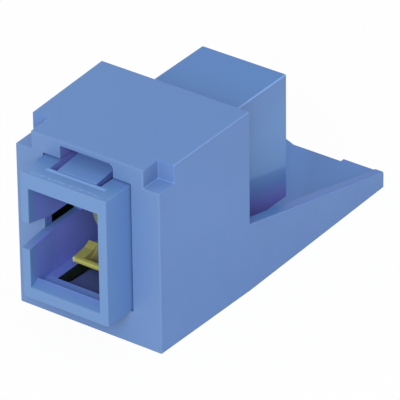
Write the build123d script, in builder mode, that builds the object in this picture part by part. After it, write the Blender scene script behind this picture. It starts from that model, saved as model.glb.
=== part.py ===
from build123d import *
import os
from math import cos, radians, sin, tan

# SC fibre adapter module, in millimetres.
# The origin is the point where the two ferrules meet, on the optical axis.
# X runs across, Y from the front port to the rear port, Z up.

# Adapter core
core_width = 9.2
core_above_axis = 6.5
core_below_axis = 6.15
core_half_length = 13.5
core_edge_radius = 0.12
port_width = 7.5
port_half_height = 5.03
sill_half_height = 4.52
sill_depth = 1.05
cavity_half_height = 4.95
joint_lip_length = 0.8
joint_lip_thickness = 0.4
joint_clearance = 0.05

# Key slot in the side wall of each port
key_mouth_top = 1.5
key_mouth_bottom = 1.2
key_inner_half = 0.82
key_funnel_length = 2.9
key_slot_length = 7.5

# Stop lugs that rest behind the carrier's front wall
lug_reach = 0.6
lug_length = 1.2
lug_height = 1.4
lug_level = 2.9

# Snap tongues in the top and bottom walls of the core
tongue_half_width = 2.1
tongue_slot_width = 0.65
tongue_thickness = 0.5
tongue_step = 0.1
tongue_rise = 0.26
tongue_tooth_height = 0.55
tongue_tooth_length = 1.6
tongue_length = 4.5
tongue_root_from_nose = 2.05
tongue_knuckle_clearance = 0.03
tongue_end_gap = 0.4
tongue_window_slant = 0.15
tongue_window_bevel = 0.15

# Latch inserts
insert_clearance = 0.05
flange_thickness = 1.65
tube_outer_radius = 2.3
tube_length = 6.35
tube_lip_length = 0.55
tube_lip_radius = 1.5
hook_half_width = 2.2
hook_arm_inner = 3.5
hook_arm_thickness = 0.7
hook_length = 7.36
hook_crest_inner = 2.83
hook_crest_from_tip = 2.5
hook_catch_length = 0.12
hook_shoulder_inner = 3.2
hook_shoulder_from_tip = 1.8
hook_tip_inner = 3.4
hook_tip_height = 0.34
hook_tip_bevel = 0.6
hook_tip_radius = 0.14
hook_scoop_half_width = 1.2
hook_scoop_depth = 0.36
hook_scoop_from_tip = 0.4
hook_scoop_length = 1.8
hook_boss_length = 0.55
hook_boss_wall = 0.3
knuckle_clearance = 0.03

# Ferrule sleeve
ferrule_radius = 1.25
sleeve_wall = 0.35
sleeve_length = 11.4
sleeve_slit = 0.5
sleeve_clearance = 0.04

# Carrier body
body_front_width = 15.44
body_above_core = 1.91
body_below_core = 3.46
body_depth = 13.0
side_draft = 1.3
top_draft = 1.45
front_face_from_nose = 3.5
front_wall = 1.0
side_wall = 1.0
roof = 1.0
base_thickness = 1.2
body_edge_radius = 0.12
notch_width = 1.7
left_notch_depth = 2.55
right_notch_depth = 2.2
notch_height = 1.8
notch_back_wall = 0.8
window_gap = 0.14
relief_half_width = 2.84
relief_above_core = 1.43
relief_left_radius = 0.12
relief_right_radius = 0.5
latch_block_half_width = 4.2
rib_thickness = 0.9
rib_gap = 0.1
side_rib_height = 4.2
floor_rib_offset = 3.4
catch_rib_gap = 0.15
catch_rib_thickness = 0.8

# Tail
tail_length = 21.65
tail_wall_height = 6.86
tail_tip_height = 1.7
tail_floor_at_tip = 1.5
tail_wall = 0.85
tail_draw_in = 0.325
tail_end_radius = 0.3
tail_notch_width = 6.4
tail_notch_depth = 0.45
tail_notch_chamfer = 1.1

# Places worked out from the sizes above
nose_y = -core_half_length
core_half_width = core_width / 2
core_height = core_above_axis + core_below_axis
core_mid_z = (core_above_axis - core_below_axis) / 2
front_y = nose_y + front_face_from_nose
back_y = front_y + body_depth
tip_y = back_y + tail_length
base_z = -core_below_axis - body_below_core
floor_z = base_z + base_thickness
body_top_z = core_above_axis + body_above_core
body_front_height = body_top_z - base_z
body_half_front = body_front_width / 2
side_flare = body_depth * tan(radians(side_draft))
top_flare = body_depth * tan(radians(top_draft))
body_half_back = body_half_front + side_flare
tail_tip_half_width = body_half_back - tail_draw_in
body_back_top_z = body_top_z + top_flare
inner_front_y = front_y + front_wall
window_half_width = core_half_width + window_gap
tongue_root_y = nose_y + tongue_root_from_nose
tongue_pivot_y = tongue_root_y + tongue_thickness / 2
tongue_window_y = tongue_root_y - tongue_knuckle_clearance
tongue_end_y = tongue_root_y + tongue_length
catch_rib_y = tongue_end_y + catch_rib_gap
tongue_window_half = tongue_half_width + tongue_slot_width
hook_pivot_y = -(flange_thickness + hook_boss_length)
hook_tip_y = hook_pivot_y - hook_length
hook_pivot_z = hook_arm_inner + hook_arm_thickness / 2
sleeve_radius = ferrule_radius + sleeve_wall
tube_bore_radius = sleeve_radius + sleeve_clearance

os.makedirs("parts", exist_ok=True)


def side_profile(points):
    """Fills a closed outline in the sketch at hand, given as (y, z) points on Plane.YZ."""
    with BuildLine() as outline:
        Polyline(*points, close=True)
    make_face(outline.edges())


def core_half(label, is_front):
    """One half of the adapter core, made as the front half with its port at -Y."""
    with BuildPart() as shell:
        with BuildSketch(Plane.XZ.offset(core_half_length)):
            with Locations((0, core_mid_z)):
                Rectangle(core_width, core_height)
        extrude(amount=-core_half_length)
        outer_edges = shell.edges().filter_by(Axis.Y)
        nose_edges = shell.faces().sort_by(Axis.Y)[0].edges()
        fillet(outer_edges + nose_edges, core_edge_radius)
        # cavity behind the sill
        with BuildSketch(Plane.XZ.offset(core_half_length - sill_depth)):
            Rectangle(port_width, 2 * cavity_half_height)
        extrude(amount=-core_half_length, mode=Mode.SUBTRACT)
        # port mouth with its lead-in
        with BuildSketch(Plane.YZ):
            side_profile([
                (nose_y, -port_half_height),
                (nose_y, port_half_height),
                (nose_y + sill_depth, sill_half_height),
                (nose_y + sill_depth, -sill_half_height),
            ])
        extrude(amount=port_width / 2, both=True, mode=Mode.SUBTRACT)
        # key slot through the side wall
        with BuildSketch(Plane.YZ.offset(-core_half_width)):
            side_profile([
                (nose_y, -key_mouth_bottom),
                (nose_y + key_funnel_length, -key_inner_half),
                (nose_y + key_slot_length, -key_inner_half),
                (nose_y + key_slot_length, key_inner_half),
                (nose_y + key_funnel_length, key_inner_half),
                (nose_y, key_mouth_top),
            ])
        extrude(amount=core_half_width - port_width / 2, mode=Mode.SUBTRACT)
        if is_front:
            # lug on each side, stopped by the inner face of the front wall
            with BuildSketch(Plane.XZ.offset(-(inner_front_y + lug_length))):
                for side in (-1, 1):
                    with Locations((side * (core_half_width + lug_reach / 2), lug_level)):
                        Rectangle(lug_reach, lug_height)
            extrude(amount=lug_length)
            # windows of the snap tongues
            for up in (1, -1):
                outer = core_above_axis if up > 0 else core_below_axis
                with BuildSketch(Plane.YZ):
                    skin = outer - tongue_step
                    knee = skin - tongue_thickness
                    side_profile([
                        (tongue_pivot_y, up * (outer + 1)),
                        (tongue_end_y + tongue_end_gap, up * (outer + 1)),
                        (tongue_end_y + tongue_end_gap, up * (cavity_half_height - 1)),
                        (tongue_pivot_y + tongue_window_slant, up * (cavity_half_height - 1)),
                        (tongue_pivot_y + tongue_window_slant, up * cavity_half_height),
                        (tongue_pivot_y, up * knee),
                    ])
                    with Locations((tongue_pivot_y, up * (skin - tongue_thickness / 2))):
                        Circle(tongue_thickness / 2 + tongue_knuckle_clearance)
                    side_profile([
                        (tongue_pivot_y, up * (skin - tongue_thickness / 2)),
                        (tongue_window_y, up * (skin - tongue_thickness / 2)),
                        (tongue_window_y, up * skin),
                        (tongue_window_y - tongue_window_bevel, up * outer),
                        (tongue_window_y - tongue_window_bevel, up * (outer + 1)),
                        (tongue_pivot_y, up * (outer + 1)),
                    ])
                extrude(amount=tongue_window_half, both=True, mode=Mode.SUBTRACT)
            # skirt that enters the rear half
            with BuildSketch(Plane.XZ):
                Rectangle(port_width + 2 * joint_lip_thickness, 2 * (cavity_half_height + joint_lip_thickness))
                Rectangle(port_width, 2 * cavity_half_height, mode=Mode.SUBTRACT)
            extrude(amount=-joint_lip_length)
        else:
            # rebate that takes the front half's skirt
            rebate = joint_lip_thickness + joint_clearance
            with BuildSketch(Plane.XZ):
                Rectangle(port_width + 2 * rebate, 2 * (cavity_half_height + rebate))
            extrude(amount=joint_lip_length + joint_clearance, mode=Mode.SUBTRACT)
    body = shell.part if is_front else shell.part.mirror(Plane.XZ)
    body.label = label
    return body


def snap_tongue(label, up):
    """A snap tongue with a rounded root, a gentle rise and a catch tooth at its end."""
    outer = core_above_axis if up > 0 else core_below_axis
    skin = outer - tongue_step
    tooth_y = tongue_end_y - tongue_tooth_length
    with BuildPart() as tongue:
        with BuildSketch(Plane.YZ):
            with Locations((tongue_pivot_y, up * (skin - tongue_thickness / 2))):
                Circle(tongue_thickness / 2)
            side_profile([
                (tongue_pivot_y, up * skin),
                (tooth_y, up * (skin + tongue_rise)),
                (tongue_end_y, up * (skin + tongue_rise + tongue_tooth_height)),
                (tongue_end_y, up * (skin + tongue_rise - tongue_thickness)),
                (tongue_pivot_y, up * (skin - tongue_thickness)),
            ])
        extrude(amount=tongue_half_width, both=True)
    tongue.part.label = label
    return tongue.part


def insert_holder(label, is_front):
    """Flange, sleeve tube and hook bosses of one latch insert, made facing -Y."""
    flange_width = port_width - 2 * insert_clearance
    flange_height = 2 * (cavity_half_height - insert_clearance)
    boss_height = hook_arm_thickness + 2 * hook_boss_wall
    with BuildPart() as holder:
        with BuildSketch(Plane.XZ):
            Rectangle(flange_width, flange_height)
        extrude(amount=flange_thickness)
        with BuildSketch(Plane.XZ.offset(flange_thickness)):
            for up in (-1, 1):
                with Locations((0, up * hook_pivot_z)):
                    Rectangle(2 * hook_half_width, boss_height)
        extrude(amount=hook_boss_length)
        with BuildSketch(Plane.XZ):
            Circle(tube_outer_radius)
        extrude(amount=tube_length)
        with BuildSketch(Plane.XZ):
            Circle(tube_bore_radius)
        extrude(amount=tube_length - tube_lip_length, mode=Mode.SUBTRACT)
        with BuildSketch(Plane.XZ):
            Circle(tube_lip_radius)
        extrude(amount=tube_length, mode=Mode.SUBTRACT)
        # round sockets of the hook roots
        with BuildSketch(Plane.YZ):
            for up in (-1, 1):
                with Locations((hook_pivot_y, up * hook_pivot_z)):
                    Circle(hook_arm_thickness / 2 + knuckle_clearance)
        extrude(amount=hook_half_width, both=True, mode=Mode.SUBTRACT)
    body = holder.part if is_front else holder.part.mirror(Plane.XZ)
    body.label = label
    return body


def latch_hook(label, is_front, up):
    """A hook arm with its rounded root, lead-in ramp, scooped middle and catch."""
    arm_outer = hook_arm_inner + hook_arm_thickness
    crest_y = hook_tip_y + hook_crest_from_tip
    with BuildPart() as hook:
        with BuildSketch(Plane.YZ):
            with Locations((hook_pivot_y, up * hook_pivot_z)):
                Circle(hook_arm_thickness / 2)
            side_profile([
                (hook_pivot_y, up * hook_arm_inner),
                (crest_y + hook_catch_length, up * hook_arm_inner),
                (crest_y, up * hook_crest_inner),
                (hook_tip_y + hook_shoulder_from_tip, up * hook_shoulder_inner),
                (hook_tip_y, up * hook_tip_inner),
                (hook_tip_y, up * (hook_tip_inner + hook_tip_height)),
                (hook_tip_y + hook_tip_bevel, up * arm_outer),
                (hook_pivot_y, up * arm_outer),
            ])
        extrude(amount=hook_half_width, both=True)
        fillet(hook.faces().sort_by(Axis.Y)[0].edges(), hook_tip_radius)
        # curved scoop in the ramp
        with BuildSketch(Plane.YZ):
            scoop_y = hook_tip_y + hook_scoop_from_tip
            scoop_end_y = scoop_y + hook_scoop_length
            scoop_top = up * (hook_crest_inner - 1)
            with BuildLine():
                ThreePointArc(
                    (scoop_y, up * hook_shoulder_inner),
                    (scoop_y + hook_scoop_length / 2, up * (hook_tip_inner + hook_scoop_depth)),
                    (scoop_end_y, up * hook_crest_inner),
                )
                Polyline(
                    (scoop_end_y, up * hook_crest_inner),
                    (scoop_end_y, scoop_top),
                    (scoop_y, scoop_top),
                    (scoop_y, up * hook_shoulder_inner),
                )
            make_face()
        extrude(amount=hook_scoop_half_width, both=True, mode=Mode.SUBTRACT)
    body = hook.part if is_front else hook.part.mirror(Plane.XZ)
    body.label = label
    return body


def split_sleeve():
    """Split tube that grips both ferrules."""
    with BuildPart() as sleeve:
        with BuildSketch(Plane.XZ.offset(-sleeve_length / 2)):
            Circle(sleeve_radius)
            Circle(ferrule_radius, mode=Mode.SUBTRACT)
            with Locations((0, sleeve_radius)):
                Rectangle(sleeve_slit, 2 * sleeve_radius, mode=Mode.SUBTRACT)
        extrude(amount=sleeve_length)
    sleeve.part.label = "alignment_sleeve"
    return sleeve.part


def carrier_body():
    """Body box with window and notches, guide ribs, tail plate and side walls."""
    with BuildPart() as carrier:
        # drafted body, smaller at the front
        with BuildSketch(Plane.XZ.offset(-front_y)) as front_outline:
            with Locations((0, (base_z + body_top_z) / 2)):
                Rectangle(2 * body_half_front, body_front_height)
        with BuildSketch(Plane.XZ.offset(-back_y)) as back_outline:
            with Locations((0, (base_z + body_back_top_z) / 2)):
                Rectangle(2 * body_half_back, body_front_height + top_flare)
        loft()
        # tail: side walls fall towards the tip
        with BuildSketch(Plane.YZ):
            side_profile([
                (back_y, base_z),
                (tip_y, base_z),
                (tip_y, base_z + tail_tip_height),
                (back_y, base_z + tail_wall_height),
            ])
        extrude(amount=body_half_back, both=True)
        tip_top_edge = carrier.edges().filter_by(Axis.X).sort_by(Axis.Y)[-2:].sort_by(Axis.Z)[-1]
        fillet(tip_top_edge, tail_end_radius)
        # its outer faces draw in towards the tip
        with BuildSketch(Plane.XY.offset(base_z)):
            for side in (-1, 1):
                with BuildLine():
                    Polyline(
                        (side * body_half_back, back_y),
                        (side * body_half_back, tip_y),
                        (side * tail_tip_half_width, tip_y),
                        close=True,
                    )
                make_face()
        extrude(amount=tail_wall_height, mode=Mode.SUBTRACT)
        # corner notches at the top front
        for side in (-1, 1):
            with BuildSketch(Plane.XZ.offset(-front_y)):
                with Locations((side * (body_half_front - notch_width), body_top_z - notch_height)):
                    Rectangle(
                        2 * notch_width,
                        2 * notch_height,
                        align=(Align.MAX if side < 0 else Align.MIN, Align.MIN),
                    )
            depth = left_notch_depth if side < 0 else right_notch_depth
            extrude(amount=-depth, mode=Mode.SUBTRACT)
        fillet(outer_carrier_edges(carrier), body_edge_radius)
        # hollow inside, open at the back, narrower behind the corner notches
        hollow_half = body_half_front - side_wall
        hollow_top = body_top_z - roof
        corner_width = notch_width + notch_back_wall - side_wall
        corner_height = notch_height + notch_back_wall - roof
        corner_depth = max(left_notch_depth, right_notch_depth) + notch_back_wall - front_wall
        with BuildSketch(Plane.XZ.offset(-inner_front_y)):
            with Locations((0, floor_z)):
                Rectangle(2 * hollow_half, hollow_top - floor_z, align=(Align.CENTER, Align.MIN))
            for side in (-1, 1):
                with Locations((side * (hollow_half - corner_width / 2), hollow_top - corner_height / 2)):
                    Rectangle(corner_width, corner_height, mode=Mode.SUBTRACT)
        extrude(amount=-corner_depth, mode=Mode.SUBTRACT)
        with BuildSketch(Plane.XZ.offset(-inner_front_y - corner_depth)):
            with Locations((0, floor_z)):
                Rectangle(2 * hollow_half, hollow_top - floor_z, align=(Align.CENTER, Align.MIN))
        extrude(amount=-body_depth, mode=Mode.SUBTRACT)
        # trough of the tail
        with BuildSketch(Plane.YZ):
            side_profile([
                (back_y, floor_z),
                (tip_y - tail_wall, base_z + tail_floor_at_tip),
                (tip_y + tail_wall, base_z + tail_floor_at_tip),
                (tip_y + tail_wall, base_z + tail_wall_height + 1),
                (back_y, base_z + tail_wall_height + 1),
            ])
        extrude(amount=tail_tip_half_width - tail_wall, both=True, mode=Mode.SUBTRACT)
        # window of the core, with the relief above it
        with BuildSketch(Plane.XZ.offset(-front_y)):
            with Locations((0, core_mid_z)):
                Rectangle(2 * window_half_width, core_height + 2 * window_gap)
        extrude(amount=-front_wall, mode=Mode.SUBTRACT)
        # block on the roof, with the channel the upper tongue snaps into
        with BuildSketch(Plane.XZ.offset(-inner_front_y)):
            with Locations((0, core_above_axis + rib_gap)):
                Rectangle(
                    2 * latch_block_half_width,
                    hollow_top - core_above_axis,
                    align=(Align.CENTER, Align.MIN),
                )
        extrude(amount=inner_front_y - catch_rib_y)
        with BuildSketch(Plane.XZ.offset(-front_y)) as relief:
            with Locations((0, core_above_axis)):
                Rectangle(2 * relief_half_width, relief_above_core, align=(Align.CENTER, Align.MIN))
            relief_corners = relief.vertices().group_by(Axis.Y)[-1].sort_by(Axis.X)
            fillet(relief_corners[0], relief_left_radius)
            fillet(relief.vertices().group_by(Axis.Y)[-1].sort_by(Axis.X)[-1], relief_right_radius)
        extrude(amount=front_y - catch_rib_y, mode=Mode.SUBTRACT)
        # guide ribs on the side walls
        rib_depth = back_y - inner_front_y
        for side in (-1, 1):
            for level in (-side_rib_height, side_rib_height):
                with BuildSketch(Plane.XZ.offset(-inner_front_y)):
                    with Locations((side * (core_half_width + rib_gap), core_mid_z + level)):
                        Rectangle(
                            body_half_front - side_wall / 2 - core_half_width - rib_gap,
                            rib_thickness,
                            align=(Align.MAX if side < 0 else Align.MIN, Align.CENTER),
                        )
                extrude(amount=-rib_depth)
        # ribs under the core
        for side in (-1, 1):
            with BuildSketch(Plane.XZ.offset(-inner_front_y)):
                with Locations((side * floor_rib_offset, floor_z)):
                    Rectangle(
                        rib_thickness,
                        -core_below_axis - rib_gap - floor_z,
                        align=(Align.CENTER, Align.MIN),
                    )
            extrude(amount=-rib_depth)
        # catch ribs behind the tongues
        for up in (1, -1):
            wall_z = body_top_z - roof if up > 0 else floor_z
            core_z = core_above_axis if up > 0 else -core_below_axis
            with BuildSketch(Plane.XZ.offset(-catch_rib_y)):
                with Locations((0, (wall_z + core_z + up * rib_gap) / 2)):
                    Rectangle(2 * latch_block_half_width, abs(wall_z - core_z) - rib_gap)
            extrude(amount=-catch_rib_thickness)
        # notch in the tip, square at one end and chamfered at the other
        with BuildSketch(Plane.XY.offset(base_z)):
            with BuildLine():
                Polyline(
                    (-tail_notch_width / 2, tip_y),
                    (-tail_notch_width / 2 + tail_notch_chamfer, tip_y - tail_notch_depth),
                    (tail_notch_width / 2, tip_y - tail_notch_depth),
                    (tail_notch_width / 2, tip_y),
                    close=True,
                )
            make_face()
        extrude(amount=tail_wall_height, mode=Mode.SUBTRACT)
    carrier.part.label = "carrier_body"
    return carrier.part


def outer_carrier_edges(carrier):
    """Visible outer edges of the drafted body and the tail, rounded as moulded."""
    def is_outer(edge):
        middle = edge.center()
        box = edge.bounding_box()
        on_seam = abs(box.min.Y - back_y) < 0.01 and abs(box.max.Y - back_y) < 0.01
        in_middle = abs(middle.X) < 0.01 and on_seam and middle.Z < base_z + tail_wall_height + 0.01
        return not in_middle and not (on_seam and middle.Z < base_z + 0.01)
    return carrier.edges().filter_by(is_outer)


pieces = [
    carrier_body(),
    core_half("front_shell", True),
    core_half("rear_shell", False),
    snap_tongue("upper_tongue", 1),
    snap_tongue("lower_tongue", -1),
    insert_holder("front_holder", True),
    insert_holder("rear_holder", False),
    latch_hook("front_upper_hook", True, 1),
    latch_hook("front_lower_hook", True, -1),
    latch_hook("rear_upper_hook", False, 1),
    latch_hook("rear_lower_hook", False, -1),
    split_sleeve(),
]
for piece in pieces:
    export_step(piece, f"parts/{piece.label}.step")
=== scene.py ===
from math import cos, radians, sin

import bpy
from mathutils import Matrix, Vector


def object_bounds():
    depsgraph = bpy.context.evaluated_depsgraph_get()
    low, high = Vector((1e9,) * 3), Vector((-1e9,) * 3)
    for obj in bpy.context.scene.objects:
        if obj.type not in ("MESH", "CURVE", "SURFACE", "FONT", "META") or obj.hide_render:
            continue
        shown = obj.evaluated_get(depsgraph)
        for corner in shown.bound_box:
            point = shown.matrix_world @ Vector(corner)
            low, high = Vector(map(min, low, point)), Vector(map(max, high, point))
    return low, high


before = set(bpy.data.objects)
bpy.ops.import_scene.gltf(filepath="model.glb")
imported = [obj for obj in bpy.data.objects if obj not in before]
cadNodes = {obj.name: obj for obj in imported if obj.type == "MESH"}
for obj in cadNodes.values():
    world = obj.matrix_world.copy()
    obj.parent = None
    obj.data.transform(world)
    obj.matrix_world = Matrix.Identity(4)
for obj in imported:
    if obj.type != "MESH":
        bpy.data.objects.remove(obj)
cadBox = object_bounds()
print("frame loaded:", len(cadNodes), "solids")


# a socket that can stand in a sum, so masks read as plain arithmetic
class Signal:
    def __init__(self, tree, socket):
        self.tree = tree
        self.socket = socket

    # another output of the same node, by name or number
    def output(self, place):
        return Signal(self.tree, self.socket.node.outputs[place])

    def math(self, operation, left, right):
        node = self.tree.nodes.new("ShaderNodeMath")
        node.operation = operation
        for place, value in enumerate((left, right)):
            if isinstance(value, Signal):
                self.tree.links.new(value.socket, node.inputs[place])
            else:
                node.inputs[place].default_value = value
        return Signal(self.tree, node.outputs[0])

    def __add__(self, other):
        return self.math("ADD", self, other)

    def __radd__(self, other):
        return self.math("ADD", other, self)

    def __sub__(self, other):
        return self.math("SUBTRACT", self, other)

    def __rsub__(self, other):
        return self.math("SUBTRACT", other, self)

    def __mul__(self, other):
        return self.math("MULTIPLY", self, other)

    def __rmul__(self, other):
        return self.math("MULTIPLY", other, self)

    def __truediv__(self, other):
        return self.math("DIVIDE", self, other)

    def __rtruediv__(self, other):
        return self.math("DIVIDE", other, self)

    def atLeast(self, other):
        return self.math("MAXIMUM", self, other)

    def atMost(self, other):
        return self.math("MINIMUM", self, other)


# node tree of a material or of the world: every node but the plain maths comes from add()
class Finish:
    def __init__(self, owner):
        owner.use_nodes = True
        self.owner = owner
        self.tree = owner.node_tree
        self.tree.nodes.clear()

    # settings come first; a socket is given by its name, or by i and its number
    def add(self, kind, settings=None, output=0, **sockets):
        node = self.tree.nodes.new(kind)
        for key, value in (settings or {}).items():
            if key == "stops":
                self.setStops(node.color_ramp, value)
            else:
                setattr(node, key, value)
        for key, value in sockets.items():
            place = self.findInput(node, key)
            if isinstance(value, Signal):
                self.tree.links.new(value.socket, place)
            else:
                place.default_value = value
        if not node.outputs:
            return None
        return Signal(self.tree, node.outputs[output])

    def findInput(self, node, key):
        if key[0] == "i" and key[1:].isdigit():
            return node.inputs[int(key[1:])]
        wanted = key.replace("_", " ").lower()
        for socket in node.inputs:
            if socket.name.lower() == wanted and socket.enabled:
                return socket
        raise KeyError(key)

    def setStops(self, ramp, stops):
        while len(ramp.elements) > 1:
            ramp.elements.remove(ramp.elements[-1])
        ramp.elements[0].position = stops[0][0]
        ramp.elements[0].color = stops[0][1]
        for position, colour in stops[1:]:
            ramp.elements.new(position).color = colour

    # metres in the shared frame, because each piece has its origin there
    def place(self):
        return self.add("ShaderNodeTexCoord", output="Object")

    def noise(self, scale, detail, roughness, where=None):
        return self.add(
            "ShaderNodeTexNoise",
            scale=scale,
            detail=detail,
            roughness=roughness,
            vector=where or self.place(),
        )

    def ramp(self, factor, stops):
        return self.add("ShaderNodeValToRGB", {"stops": stops}, fac=factor)

    # 0 at low, 1 at high
    def mask(self, factor, low, high):
        return self.add(
            "ShaderNodeMapRange",
            {"clamp": True},
            value=factor,
            from_min=low,
            from_max=high,
        )

    # inputs 6 and 7 and output 2 are the node's colour sockets
    def mix(self, factor, first, second):
        settings = {"data_type": "RGBA"}
        return self.add("ShaderNodeMix", settings, 2, i0=factor, i6=first, i7=second)

    # 1 inside a box of the shared frame, 0 outside it, with its own fade along each axis;
    # "lean" tilts the box: how much x and z gain for each metre of y
    def insideBox(self, where, box):
        split = self.add("ShaderNodeSeparateXYZ", vector=where)
        lean = box.get("lean", (0, 0, 0))
        depth = None
        for axis in range(3):
            along = split.output(axis)
            if lean[axis]:
                along = along - split.output("Y") * lean[axis]
            inner = (along - box["low"][axis]).atMost(box["high"][axis] - along)
            inner = inner / box["fade"][axis]
            depth = inner if depth is None else depth.atMost(inner)
        return self.mask(depth, 0.0, 1.0)

    def done(self, shader):
        self.add("ShaderNodeOutputMaterial", surface=shader)
        return self.owner


def withAlpha(colour):
    return (*colour, 1.0)


def paint(material, *names):
    for name in names:
        for materialSlot in cadNodes[name].material_slots:
            materialSlot.material = material


# what every surface of the part shares; the rest is in each one's own dictionary
fineDetail = {
    "cloudShare": 0.7,  # of the shade, the rest is streaks
    "shadeStops": (0.36, 0.5, 0.64),  # deep, plain and pale
    "noiseMean": 0.5,
    "speckleBand": (0.45, 0.75),
    "speckleTint": 0.12,
    "speckleRoughness": 0.05,
    "mottleBand": (0.42, 0.58),
    "waveStrength": 0.5,
    "grainStrength": 0.6,
    "ior": 1.5,
}


# the plain colour with its zones laid over it, one after the other
def zonedColour(finish, where, look, colour):
    for zone in look["zones"]:
        amount = finish.insideBox(where, zone)
        if "within" in zone:
            amount = amount * finish.insideBox(where, zone["within"])
        if "mottle" in zone:
            spots = finish.noise(zone["mottle"], detail=2.0, roughness=0.6, where=where)
            amount = amount * finish.mask(spots, *fineDetail["mottleBand"])
        colour = finish.mix(amount, colour, withAlpha(zone["tint"]))
    return colour


def fineSurface(name, look):
    finish = Finish(bpy.data.materials.new(name))
    where = finish.place()
    stretched = finish.add(
        "ShaderNodeMapping", vector=where, scale=look["flowStretch"]
    )
    clouds = finish.noise(look["cloudScale"], detail=4.0, roughness=0.55, where=where)
    streaks = finish.noise(scale=1.0, detail=3.0, roughness=0.5, where=stretched)
    grain = finish.noise(look["grainScale"], detail=2.0, roughness=0.6, where=where)
    cloudShare = fineDetail["cloudShare"]
    shade = clouds * cloudShare + streaks * (1 - cloudShare)
    shadeColours = [look["deepTint"], look["colour"], look["paleTint"]]
    stops = zip(fineDetail["shadeStops"], map(withAlpha, shadeColours))
    tint = finish.ramp(shade, list(stops))
    speckle = finish.mask(grain, *fineDetail["speckleBand"])
    pale = withAlpha(look["paleTint"])
    colour = finish.mix(speckle * fineDetail["speckleTint"], tint, pale)
    colour = zonedColour(finish, where, look, colour)
    streakRoughness = (streaks - fineDetail["noiseMean"]) * look["roughnessSpread"]
    speckleRoughness = speckle * fineDetail["speckleRoughness"]
    softWave = finish.add(
        "ShaderNodeBump",
        strength=fineDetail["waveStrength"],
        distance=look["waveHeight"],
        height=clouds,
    )
    surface = finish.add(
        "ShaderNodeBump",
        strength=fineDetail["grainStrength"],
        distance=look["grainHeight"],
        height=grain,
        normal=softWave,
    )
    shader = finish.add(
        "ShaderNodeBsdfPrincipled",
        base_color=colour,
        roughness=look["roughness"] + streakRoughness + speckleRoughness,
        ior=fineDetail["ior"],
        specular_ior_level=look["gloss"],
        normal=surface,
    )
    return finish.done(shader)


# moulded blue plastic; the tint of a zone covers its colours
bluePlastic = {
    "colour": (0.100, 0.205, 0.462),
    "paleTint": (0.104, 0.211, 0.470),
    "deepTint": (0.096, 0.199, 0.453),
    "cloudScale": 170.0,  # clouds of pigment, cells per metre
    "flowStretch": (60.0, 900.0, 260.0),  # faint flow streaks across the moulding
    "grainScale": 5200.0,  # fine spark-eroded grain
    "gloss": 0.34,
    "roughness": 0.38,
    "roughnessSpread": 0.05,
    "grainHeight": 0.0000015,  # both heights in metres
    "waveHeight": 0.000004,
}

# A zone is a box in the shared frame, in metres, with the tint of the faces in it. The
# tints are fitted to the photograph, and some of them stand for shade or a reflection.
paintedHollowShade = (0.124, 0.182, 0.55)  # violet painted shade in the hollows near the openings
paintedDeepShade = (0.012, 0.020, 0.018)  # near-black painted shade in deep slots
wide = 0.03  # reaches past the object on either side
wallSlope = -0.2383  # rise of the tail's walls for each metre of y
topDraft = 0.02531  # rise of the carrier's top
sideDraft = 0.02269  # and how far its right side moves out


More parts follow.
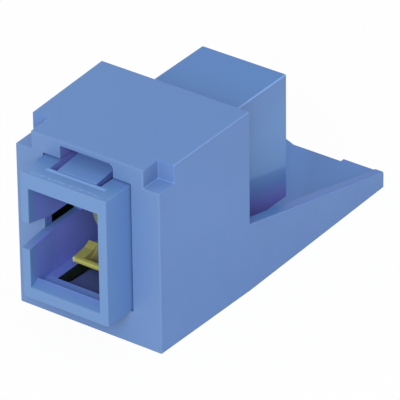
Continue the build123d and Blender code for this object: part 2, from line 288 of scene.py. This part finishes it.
# carrier: a later zone covers an earlier one
troughZone = {  # floor of the tail, between its walls, with painted shade
    "low": (-0.0070, 0.0030, -0.0090),
    "high": (0.0070, 0.0250, -0.0075),
    "fade": (0.0001, 0.0001, 0.0001),
    "tint": (0.066, 0.176, 0.453),
}
carrierZones = {
    # painted light: the carrier's top face tinted for how it is lit
    "topFace": {
        "low": (-wide, -0.0101, 0.00862),
        "high": (wide, 0.0032, 0.0090),
        "fade": (0.001, 0.0001, 0.00003),
        "lean": (0, 0, topDraft),
        "tint": (0.087, 0.202, 0.474),
    },
    "notch": {  # inside of the right corner notch, with painted shade
        "low": (0.0058, -0.00997, 0.0065),
        "high": (0.00768, -0.0077, 0.00838),
        "fade": (0.00003, 0.00003, 0.00003),
        "tint": (0.118, 0.212, 0.44),
    },
    # painted light: the notch's floor made paler
    "notchFloor": {
        "low": (0.0058, -0.00997, 0.0065),
        "high": (0.00768, -0.0077, 0.00668),
        "fade": (0.00003, 0.00003, 0.00003),
        "tint": (0.140, 0.250, 0.52),
    },
    "trough": troughZone,
    "troughShadowFill": {  # painted light on the part of that floor beside and behind the core, lightening the shadow the core casts there
        "low": (-wide, 0.0000, -0.0090),
        "high": (0.0127, 0.0260, -0.0075),
        "fade": (0.0022, 0.0001, 0.0001),
        "lean": (-0.5, 0, 0),
        "within": troughZone,
        "tint": (0.084, 0.230, 0.60),
    },
    "channel": {  # channel that the upper tongue snaps into, in violet painted shade
        "low": (-0.0030, -0.0100, 0.0064),
        "high": (0.0030, 0.0030, 0.0080),
        "fade": (0.00005, 0.0004, 0.00005),
        "tint": (0.148, 0.168, 0.49),
    },
    "lowHollow": {  # hollow round the core, below the corner notches, in violet painted shade
        "low": (-0.00690, -0.0094, -0.0085),
        "high": (0.00690, 0.0034, 0.0065),
        "fade": (0.0001, 0.0004, 0.0001),
        "tint": paintedHollowShade,
    },
    "highHollow": {  # and behind them, also in violet painted shade
        "low": (-0.00690, -0.0067, -0.0085),
        "high": (0.00690, 0.0034, 0.0075),
        "fade": (0.0001, 0.0004, 0.0001),
        "tint": paintedHollowShade,
    },
    "frontHollow": {  # its front end, seen only through the slots of the core, in near-black painted shade
        "low": (-0.00690, -0.00908, -0.0085),
        "high": (0.00690, 0.0010, 0.0064),
        "fade": (0.0001, 0.0001, 0.0001),
        "tint": paintedDeepShade,
    },
    "window": {  # edge of the window round the core, in violet painted shade
        "low": (-0.00480, -0.00985, -0.0063),
        "high": (0.00480, -0.0088, 0.0067),
        "fade": (0.00003, 0.0002, 0.0001),
        "tint": paintedHollowShade,
    },
    # painted light: the carrier's front face tinted for how it is lit
    "frontFace": {
        "low": (-wide, -0.0101, -wide),
        "high": (wide, -0.00986, wide),
        "fade": (0.001, 0.00004, 0.001),
        "tint": (0.125, 0.222, 0.44),
    },
    "wallTop": {  # sloping top of the walls of the tail, darkened with painted shade
        "low": (-wide, 0.0030, -0.002095),
        "high": (wide, 0.0400, 0.0005),
        "fade": (0.001, 0.0060, 0.00004),
        "lean": (0, 0, wallSlope),
        "tint": (0.038, 0.142, 0.435),
    },
    "sideEdgeHighlight": {  # painted highlight on the edge between the carrier's top and its right side
        "low": (0.007807, -0.0101, 0.008523),
        "high": (0.0090, 0.0031, 0.0090),
        "fade": (0.00006, 0.0002, 0.00006),
        "lean": (sideDraft, 0, topDraft),
        "tint": (0.135, 0.250, 0.52),
    },
}
carrierPlastic = dict(bluePlastic, zones=list(carrierZones.values()))
paint(fineSurface("blue carrier plastic", carrierPlastic), "carrier_body")


# front half of the core
cavityZone = {  # cavity of both ports, behind the sills, in violet painted shade
    "low": (-0.0042, -0.01295, -0.0052),
    "high": (0.0042, 0.01295, 0.0054),
    "fade": (0.0003, 0.0007, 0.0002),
    "tint": paintedHollowShade,
}
frontCoreZones = {
    "top": {  # top in front of the carrier, made paler with painted light
        "low": (-wide, -0.0136, 0.00644),
        "high": (wide, -0.0107, 0.0070),
        "fade": (0.001, 0.0007, 0.00003),
        "tint": (0.106, 0.229, 0.495),
    },
    "side": {  # right side in front of the carrier, tinted with painted light
        "low": (0.0044, -0.0134, -wide),
        "high": (wide, -0.0098, 0.00645),
        "fade": (0.0001, 0.0001, 0.0001),
        "tint": (0.112, 0.226, 0.495),
    },
    "portFace": {  # front face, round the port, made paler with painted light
        "low": (-wide, -0.0136, -wide),
        "high": (wide, -0.01337, wide),
        "fade": (0.001, 0.00004, 0.001),
        "tint": (0.123, 0.231, 0.455),
    },
    "cavity": cavityZone,
    "deepWall": {  # its walls further in, brighter and violet: painted light in their shade
        "low": (-0.0042, -0.0105, -0.0049),
        "high": (0.0042, -0.0018, 0.0049),
        "fade": (0.0003, 0.0015, 0.0002),
        "tint": (0.148, 0.194, 0.645),
    },
    "sill": {  # top of the lower sill of the port, made paler with painted light
        "low": (-0.0040, -0.0134, -0.00460),
        "high": (0.0040, -0.01242, -0.00440),
        "fade": (0.0002, 0.0001, 0.00005),
        "tint": (0.112, 0.224, 0.478),
    },
    "floorStrip": {  # floor of the port behind that sill, made lighter with painted light
        "low": (-0.0036, -0.01245, -0.0051),
        "high": (0.0036, -0.0108, -0.00490),
        "fade": (0.0002, 0.0003, 0.00003),
        "tint": (0.135, 0.235, 0.60),
    },
    "upperSlot": {  # side walls of the slots beside the upper tongue, in violet painted shade
        "low": (-0.0030, -0.01142, 0.0050),
        "high": (0.0030, -0.0060, 0.00643),
        "fade": (0.0001, 0.00003, 0.00004),
        "tint": (0.161, 0.204, 0.646),
    },
    "lowerSlot": {  # and of those beside the lower one, in near-black painted shade
        "low": (-0.0030, -0.0118, -0.0064),
        "high": (0.0030, -0.0060, -0.00500),
        "fade": (0.0001, 0.0001, 0.00003),
        "tint": paintedDeepShade,
    },
    "slotRim": {  # rim of the left slot, under the carrier, in violet painted shade
        "low": (-0.0031, -0.0101, 0.0063),
        "high": (-0.0027, -0.0070, 0.0070),
        "fade": (0.00003, 0.0001, 0.0001),
        "tint": (0.138, 0.163, 0.505),
    },
    "rootHighlight": {  # painted highlight: a pale line in front of the upper tongue
        "low": (-0.0030, -0.01217, 0.0062),
        "high": (0.0036, -0.01167, 0.0070),
        "fade": (0.0003, 0.00018, 0.0001),
        "tint": (0.205, 0.365, 0.72),
    },
    "litStrip": {  # paler, mottled strip between it and the edge of the port: painted light
        "low": (-0.0039, -0.01328, 0.0062),
        "high": (0.0041, -0.01286, 0.0070),
        "fade": (0.0006, 0.00012, 0.0001),
        "tint": (0.160, 0.305, 0.64),
        "mottle": 2600.0,
    },
}
frontCorePlastic = dict(bluePlastic, zones=list(frontCoreZones.values()))
paint(fineSurface("blue front core plastic", frontCorePlastic), "front_shell")


# rear half of the core
rearCoreZones = {
    # painted shade: the top of the rear half made darker
    "top": {
        "low": (-wide, 0.0030, 0.00644),
        "high": (wide, 0.0140, 0.0070),
        "fade": (0.001, 0.0001, 0.00003),
        "tint": (0.063, 0.183, 0.462),
    },
    "side": {  # lower part of its right side, made lighter with painted light
        "low": (0.0044, 0.0029, -wide),
        "high": (wide, 0.0134, 0.0064),
        "fade": (0.0001, 0.0001, 0.0040),
        "tint": (0.112, 0.245, 0.52),
    },
    "facingSideShade": {  # sides that face the walls of the tail, darker below a line parallel to the walls' tops: painted shade and reflection of the walls
        "low": (-wide, 0.0029, -wide),
        "high": (wide, 0.0134, 0.00036),
        "fade": (0.001, 0.0001, 0.00035),
        "lean": (0, 0, wallSlope),
        "tint": (0.078, 0.183, 0.45),
    },
    "cavity": cavityZone,
    "foot": {  # foot of the port, between the walls of the tail, in violet painted shade
        "low": (-wide, 0.0029, -wide),
        "high": (wide, wide, -0.0007),
        "fade": (0.001, 0.0001, 0.0021),
        "lean": (0, 0, wallSlope),
        "tint": (0.148, 0.158, 0.53),
    },
    "topEdgeHighlight": {  # painted highlight on the upper right edge
        "low": (0.00446, -0.0140, 0.00636),
        "high": (0.0050, 0.0140, 0.0070),
        "fade": (0.00006, 0.0005, 0.00006),
        "tint": (0.168, 0.312, 0.635),
    },
}
rearCorePlastic = dict(bluePlastic, zones=list(rearCoreZones.values()))
paint(fineSurface("blue rear core plastic", rearCorePlastic), "rear_shell")


# snap tongues
tongueZones = {
    "innerFace": {  # inner face of the lower tongue, in dark painted shade
        "low": (-0.0030, -0.0130, -0.0062),
        "high": (0.0030, 0.0000, 0.0000),
        "fade": (0.0001, 0.0001, 0.0003),
        "tint": (0.067, 0.095, 0.25),
    },
    "side": {  # right side of the upper tongue, in violet painted shade
        "low": (0.00205, -0.0120, 0.0050),
        "high": (0.0030, -0.0060, 0.0070),
        "fade": (0.00003, 0.0001, 0.0001),
        "tint": (0.095, 0.165, 0.49),
    },
}
# the same blue made brighter: painted light on the tongues, which sit in recesses
tonguePlastic = dict(
    bluePlastic,
    colour=(0.123, 0.242, 0.530),
    paleTint=(0.125, 0.244, 0.530),
    deepTint=(0.115, 0.232, 0.510),
    zones=list(tongueZones.values()),
)
paint(
    fineSurface("blue tongue plastic", tonguePlastic),
    "upper_tongue",
    "lower_tongue",
)
print("blue plastic done")


# amber inserts with the latch hooks
insertZones = {
    "hookLip": {  # rounded end of the lower hook, made brighter with painted light
        "low": (-wide, -0.0097, -0.0050),
        "high": (wide, -0.00915, 0.0000),
        "fade": (0.001, 0.0002, 0.0005),
        "tint": (0.40, 0.42, 0.097),
    },
    "hookCornerHighlight": {  # painted highlight on its corner
        "low": (-0.0030, -0.0097, -0.0050),
        "high": (-0.0019, -0.00925, 0.0000),
        "fade": (0.0003, 0.0002, 0.0001),
        "tint": (0.60, 0.62, 0.34),
    },
    "hookScoop": {  # hollow of the scoop behind it, in brown painted shade
        "low": (-0.00135, -0.0092, -0.0048),
        "high": (0.00135, -0.0071, 0.0000),
        "fade": (0.0004, 0.0004, 0.0002),
        "tint": (0.15, 0.125, 0.065),
    },
    "tubeEnd": {  # open end of the tube, greyed: painted shade and reflected blue of the walls round it
        "low": (-0.0030, -0.0066, -0.0030),
        "high": (0.0030, -0.0053, 0.0030),
        "fade": (0.0001, 0.0002, 0.0001),
        "tint": (0.205, 0.25, 0.15),
    },
}


# the same zone on the rear insert
def turnedBack(zone):
    low, high = zone["low"], zone["high"]
    return dict(
        zone,
        low=(low[0], -high[1], low[2]),
        high=(high[0], -low[1], high[2]),
    )


frontZones = list(insertZones.values())
amberPlastic = {
    "colour": (0.30, 0.30, 0.078),
    "paleTint": (0.34, 0.34, 0.092),
    "deepTint": (0.25, 0.245, 0.060),
    "cloudScale": 420.0,
    "flowStretch": (90.0, 700.0, 400.0),
    "grainScale": 5200.0,
    "gloss": 0.5,
    "roughness": 0.34,
    "roughnessSpread": 0.1,
    "grainHeight": 0.000002,
    "waveHeight": 0.00002,
    "zones": frontZones + [turnedBack(zone) for zone in frontZones],
}
paint(
    fineSurface("amber insert plastic", amberPlastic),
    "front_holder",
    "rear_holder",
    "front_upper_hook",
    "front_lower_hook",
    "rear_upper_hook",
    "rear_lower_hook",
)
print("amber inserts done")


# ground ceramic sleeve
ceramic = {
    "colour": (0.80, 0.79, 0.74),
    "paleTint": (0.86, 0.85, 0.81),
    "deepTint": (0.72, 0.71, 0.66),
    "cloudScale": 900.0,
    "flowStretch": (3000.0, 200.0, 3000.0),  # grinding marks along the tube
    "grainScale": 9000.0,
    "gloss": 0.5,
    "roughness": 0.2,
    "roughnessSpread": 0.12,
    "grainHeight": 0.000002,
    "waveHeight": 0.000004,
    "zones": [],
}
paint(fineSurface("ground ceramic", ceramic), "alignment_sleeve")
print("sleeve done")


# pale studio: a floor, a white world for the camera and softer light on the part
studio = {
    "floorSize": 3.0,
    "floorGap": 0.00002,
    "floorColour": (0.86, 0.86, 0.86),
    "floorPale": (0.90, 0.90, 0.90),
    "floorStops": (0.3, 0.7),
    "floorGrain": 900.0,
    "floorWhiteShare": 0.95,  # of plain white in what the camera sees
    "worldLight": 0.5,
}
white = (1, 1, 1, 1)


def makeFloor():
    half = studio["floorSize"] / 2
    mesh = bpy.data.meshes.new("studioFloor")
    corners = [(-half, -half, 0), (half, -half, 0), (half, half, 0), (-half, half, 0)]
    mesh.from_pydata(corners, [], [(0, 1, 2, 3)])
    floor = bpy.data.objects.new("studioFloor", mesh)
    floor.location.z = cadBox[0][2] - studio["floorGap"]
    bpy.context.scene.collection.objects.link(floor)
    finish = Finish(bpy.data.materials.new("pale floor"))
    paper = finish.noise(studio["floorGrain"], detail=3.0, roughness=0.6)
    tones = [withAlpha(studio["floorColour"]), withAlpha(studio["floorPale"])]
    tone = finish.ramp(paper, list(zip(studio["floorStops"], tones)))
    lit = finish.add("ShaderNodeBsdfDiffuse", color=tone)
    plain = finish.add("ShaderNodeEmission", color=white, strength=1.0)
    toCamera = finish.add("ShaderNodeLightPath", output="Is Camera Ray")
    share = toCamera * studio["floorWhiteShare"]
    shader = finish.add("ShaderNodeMixShader", i0=share, i1=lit, i2=plain)
    mesh.materials.append(finish.done(shader))


def makeWorld():
    world = bpy.data.worlds.new("studioWorld")
    bpy.context.scene.world = world
    finish = Finish(world)
    toCamera = finish.add("ShaderNodeLightPath", output="Is Camera Ray")
    toGlossy = toCamera.output("Is Glossy Ray")
    toGlass = toCamera.output("Is Transmission Ray")
    seen = toCamera.atLeast(toGlossy).atLeast(toGlass)
    strength = studio["worldLight"]
    soft = finish.add("ShaderNodeBackground", color=white, strength=strength)
    plain = finish.add("ShaderNodeBackground", color=white, strength=1.0)
    blend = finish.add("ShaderNodeMixShader", i0=seen, i1=soft, i2=plain)
    finish.add("ShaderNodeOutputWorld", surface=blend)


makeFloor()
makeWorld()

# soft boxes, facing the origin: where each stands in metres, its size and its watts
softBoxes = {
    "keyBox": {"at": (0.28, -0.60, 0.38), "size": 0.40, "power": 4.8},
    "topBox": {"at": (0.12, -0.05, 0.60), "size": 0.34, "power": 0.25},
    "backBox": {"at": (0.36, 0.62, 0.20), "size": 0.34, "power": 0.9},
    "leftBox": {"at": (-0.60, 0.35, 0.22), "size": 0.34, "power": 0.8},
}
for name, box in softBoxes.items():
    light = bpy.data.lights.new(name, "AREA")
    light.shape = "SQUARE"
    light.size = box["size"]
    light.energy = box["power"]
    lamp = bpy.data.objects.new(name, light)
    lamp.location = box["at"]
    lamp.rotation_mode = "QUATERNION"
    lamp.rotation_quaternion = Vector(box["at"]).to_track_quat("Z", "Y")
    bpy.context.scene.collection.objects.link(lamp)
print("studio done")


# camera of the photograph: angles in degrees, lens and sensor in millimetres, the rest
# in metres
cameraSetup = {
    "azimuth": 36.119,
    "elevation": 30.8779,
    "roll": 0.012669,  # sideways lean of its up direction
    "lens": 446.909,
    "sensor": 36.0,
    "clip": (0.01, 10.0),
    "distance": 0.440109,
    "target": (0.0023868, 0.0032416, -0.0022598),
}


def makeCamera():
    turn = radians(cameraSetup["azimuth"])
    lift = radians(cameraSetup["elevation"])
    back = Vector((sin(turn) * cos(lift), -cos(turn) * cos(lift), sin(lift)))
    level = Vector((cos(turn), sin(turn), 0))
    rise = back.cross(level)
    right = level - cameraSetup["roll"] * rise
    up = cameraSetup["roll"] * level + rise
    axes = Matrix((right.normalized(), up.normalized(), back)).transposed()
    data = bpy.data.cameras.new("camera")
    data.lens = cameraSetup["lens"]
    data.sensor_width = cameraSetup["sensor"]
    data.clip_start, data.clip_end = cameraSetup["clip"]
    camera = bpy.data.objects.new("camera", data)
    place = Vector(cameraSetup["target"]) + cameraSetup["distance"] * back
    camera.matrix_world = Matrix.Translation(place) @ axes.to_4x4()
    bpy.context.scene.collection.objects.link(camera)
    bpy.context.scene.camera = camera


makeCamera()
bpy.context.scene.view_settings.view_transform = "Standard"
print("camera done")
